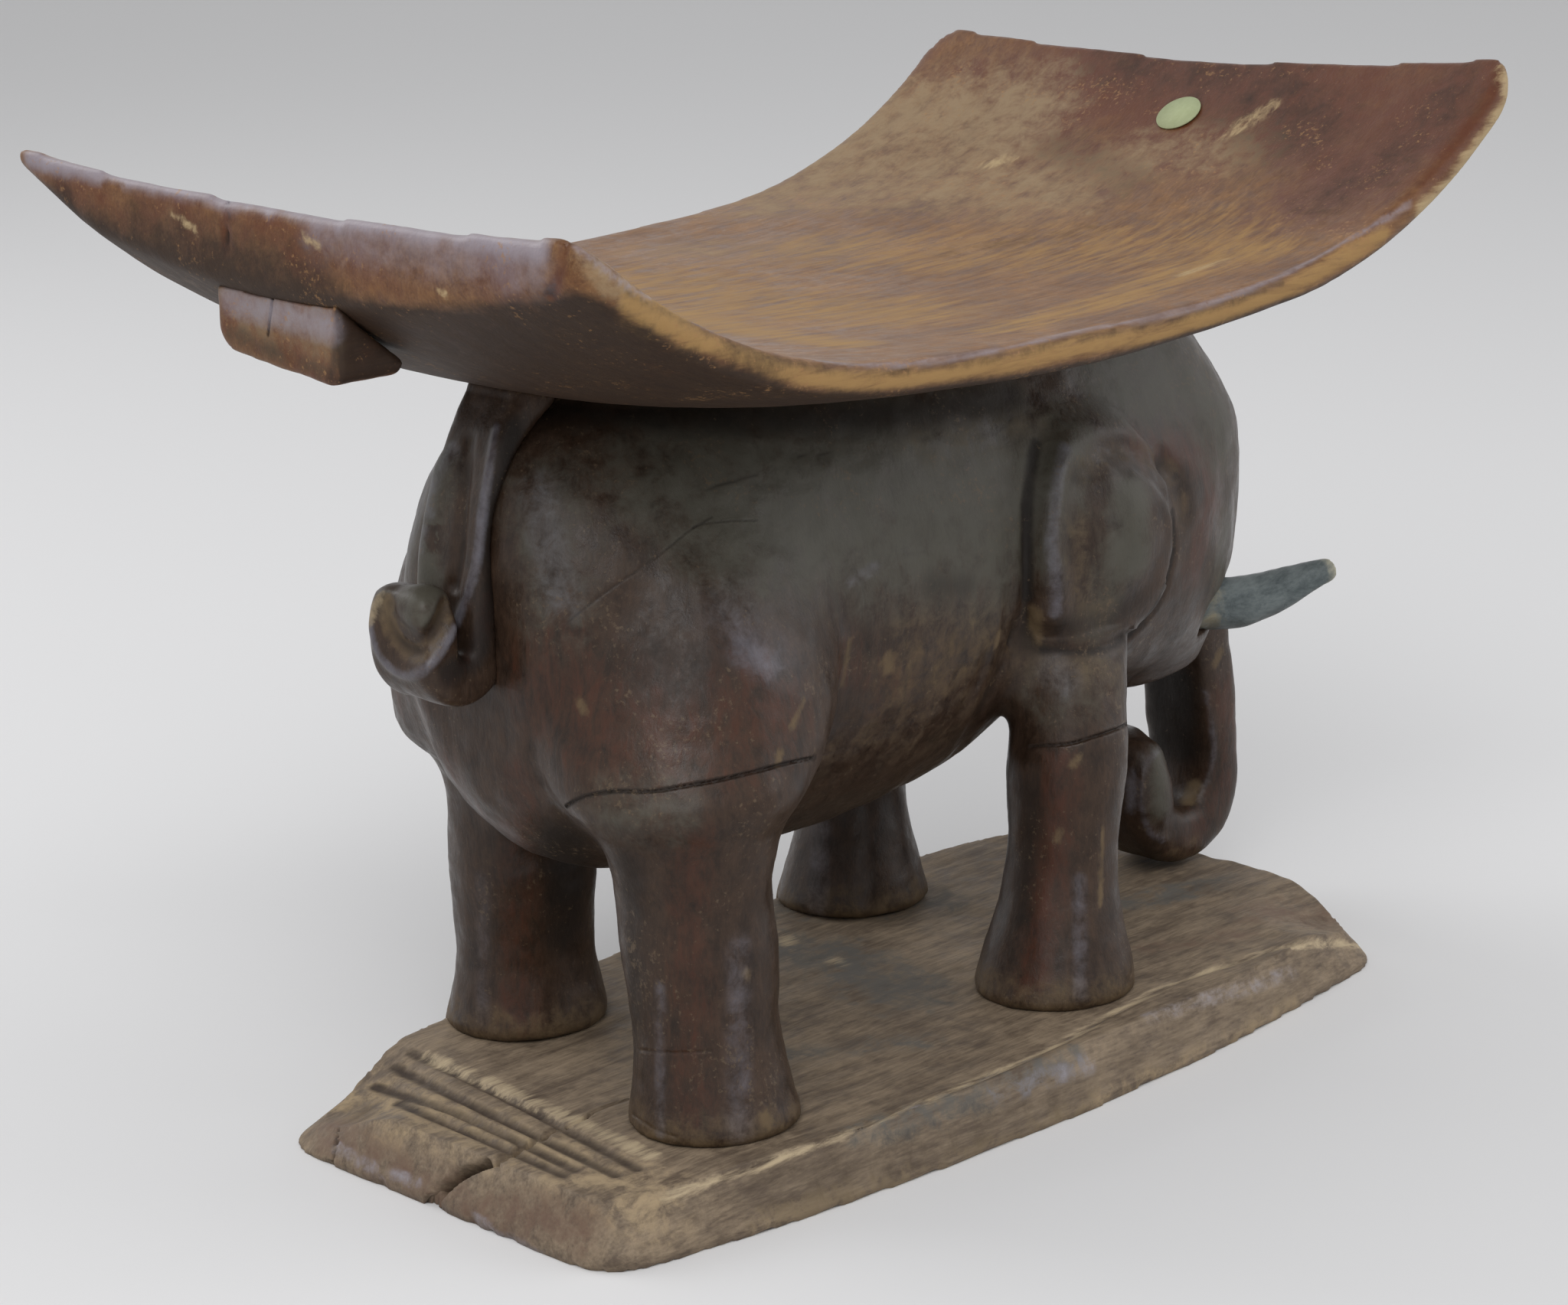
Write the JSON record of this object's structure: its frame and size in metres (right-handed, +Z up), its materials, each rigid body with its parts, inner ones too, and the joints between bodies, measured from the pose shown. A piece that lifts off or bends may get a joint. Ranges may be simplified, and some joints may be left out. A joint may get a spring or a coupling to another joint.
{
  "type": "carved elephant stool",
  "caption": "Carved wooden stool: a curved rectangular seat carried on the back of a standing elephant with tusks and a hooked trunk, on a low plank base.",
  "frame": {"origin": "on the floor, below the middle of the seat", "axes": "+X towards the elephant's head, along the seat's length; +Y to the elephant's left; +Z up"},
  "size_m": [0.54, 0.345, 0.4163],
  "materials": {
    "seat_wood": "hand carved, rubbed to a soft sheen, worn pale along the long edges",
    "body_wood": "dark aged patina, satin, with a dusty grey-green bloom on the flanks",
    "base_wood": "dry, dusty and worn, with drying cracks",
    "tusk_wood": "smooth, pale grey with a dark wash",
    "paper": "matt paper sticker, blank"
  },
  "bodies": {
    "root": {"seat_board": "seat_wood", "rear_lug": "seat_wood", "base_plinth": "base_wood", "torso": "body_wood", "head": "body_wood", "right_ear": "body_wood", "left_ear": "body_wood", "trunk": "body_wood", "tail": "body_wood", "rear_right_leg": "body_wood", "rear_left_leg": "body_wood", "front_right_leg": "body_wood", "front_left_leg": "body_wood", "right_tusk": "tusk_wood", "left_tusk": "tusk_wood", "paper_dot": "paper"}
  },
  "joints": []
}
